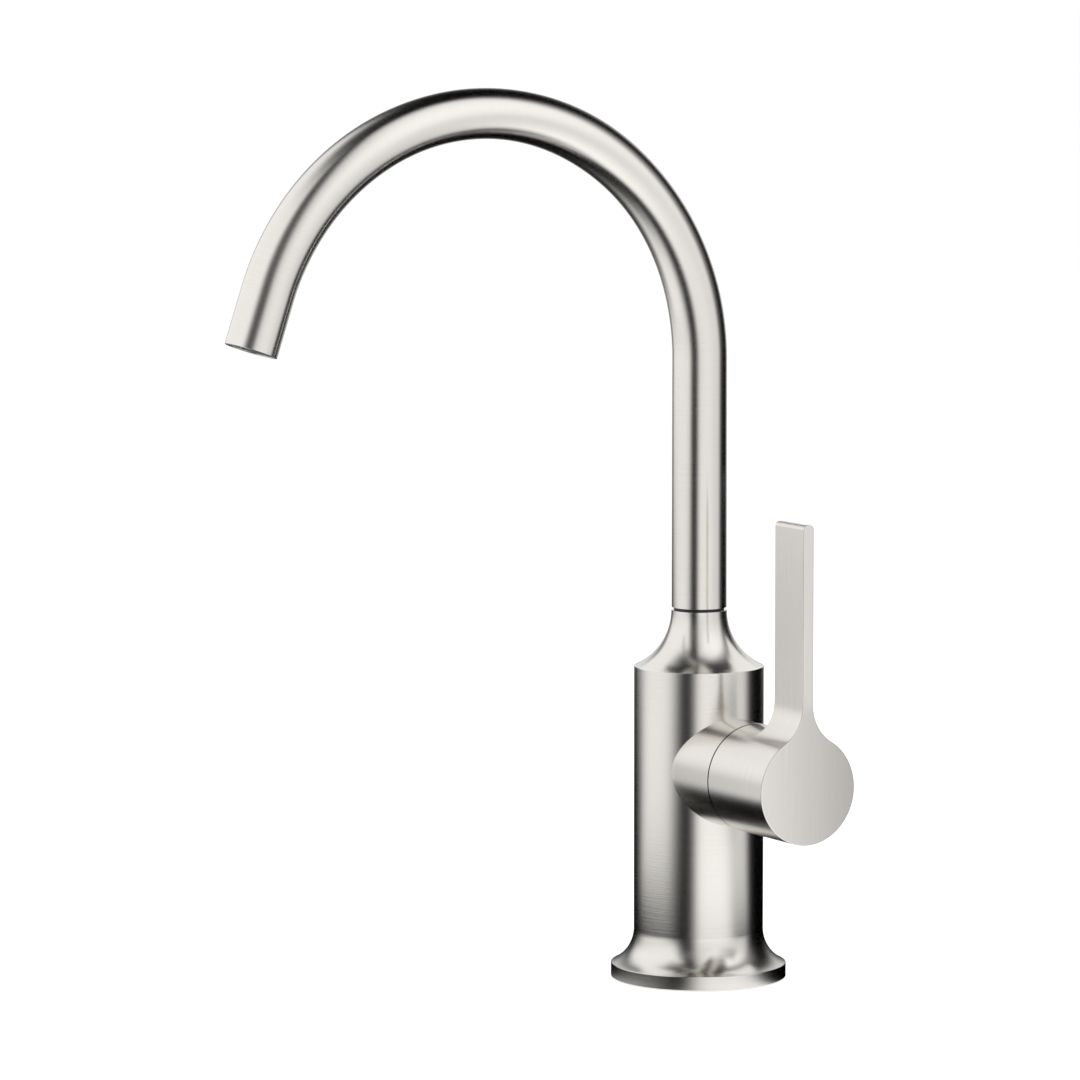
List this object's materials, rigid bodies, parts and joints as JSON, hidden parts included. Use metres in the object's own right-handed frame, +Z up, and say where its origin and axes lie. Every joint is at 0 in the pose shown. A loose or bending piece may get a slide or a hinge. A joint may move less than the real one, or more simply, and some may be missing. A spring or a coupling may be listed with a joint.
{
  "type": "basin mixer tap",
  "caption": "Single-lever basin mixer with a tall arched swivel spout, a turned body on a flared round base, and a side handle with a thin upright lever.",
  "frame": {"origin": "centre of the base on the top face of the ledge that the tap stands on", "axes": "+Z up along the body, -Y the way the spout reaches towards the user, +X out along the handle axis"},
  "size_m": [0.0991, 0.2074, 0.3436],
  "materials": {
    "brushed_nickel": "satin brushed, warm grey plating",
    "black_rubber": "matt",
    "zinc_steel": "zinc plated",
    "stainless_steel": "machined",
    "bare_brass": "machined",
    "dark_plastic": "matt",
    "grey_plastic": "matt, moulded",
    "white_plastic": "matt, moulded",
    "blue_plastic": "matt, moulded",
    "red_plastic": "matt, moulded",
    "white_ceramic": "lapped ceramic"
  },
  "bodies": {
    "mixer_body": {"body": "brushed_nickel", "base_gasket": "black_rubber", "fixing_stud": "zinc_steel", "clamp_rubber": "black_rubber", "clamp_plate": "zinc_steel", "fixing_nut": "zinc_steel", "spout_locking_screw": "stainless_steel", "cartridge_housing": "white_plastic", "cartridge_base": "grey_plastic", "cartridge_seat_seals": "black_rubber", "disc_seals": "black_rubber", "fixed_ceramic_disc": "white_ceramic", "temperature_limit_ring": "red_plastic", "cartridge_nut": "bare_brass", "dome_cap": "brushed_nickel"},
    "spout": {"spout_tube": "brushed_nickel", "spout_spigot": "bare_brass", "spout_o_rings": "black_rubber", "spout_glide_rings": "white_plastic", "spout_joint_ring": "dark_plastic", "aerator_housing": "grey_plastic", "aerator_grid": "grey_plastic", "aerator_jet_plate": "white_plastic", "flow_regulator": "blue_plastic", "aerator_seal": "black_rubber"},
    "rotor": {"cartridge_rotor": "grey_plastic", "pivot_pin": "stainless_steel"},
    "lever": {"lever_stem": "stainless_steel", "handle_insert": "white_plastic", "lever_handle": "brushed_nickel", "handle_grub_screw": "stainless_steel", "handle_screw_cap": "brushed_nickel"},
    "disc": {"disc_carrier": "grey_plastic", "moving_ceramic_disc": "white_ceramic"}
  },
  "joints": [
    {"name": "spout_swivel", "type": "hinge", "parent": "mixer_body", "child": "spout", "pos_m": [0, 0, 0.12], "axis": [0, 0, 1], "range_deg": [-60, 60]},
    {"name": "temperature_turn", "type": "hinge", "parent": "mixer_body", "child": "rotor", "pos_m": [0.025, 0, 0.073], "axis": [1, 0, 0], "range_deg": [-45, 45]},
    {"name": "flow_tilt", "type": "hinge", "parent": "rotor", "child": "lever", "pos_m": [0.025, 0, 0.073], "axis": [0, 1, 0], "range_deg": [0, 25]},
    {"name": "disc_slide", "type": "slide", "parent": "rotor", "child": "disc", "axis": [0, 0, 1], "range_m": [0, 0.004]}
  ],
  "couplings": [
    {"joint": "disc_slide", "follows": "flow_tilt", "m_per_rad": 0.008717}
  ]
}
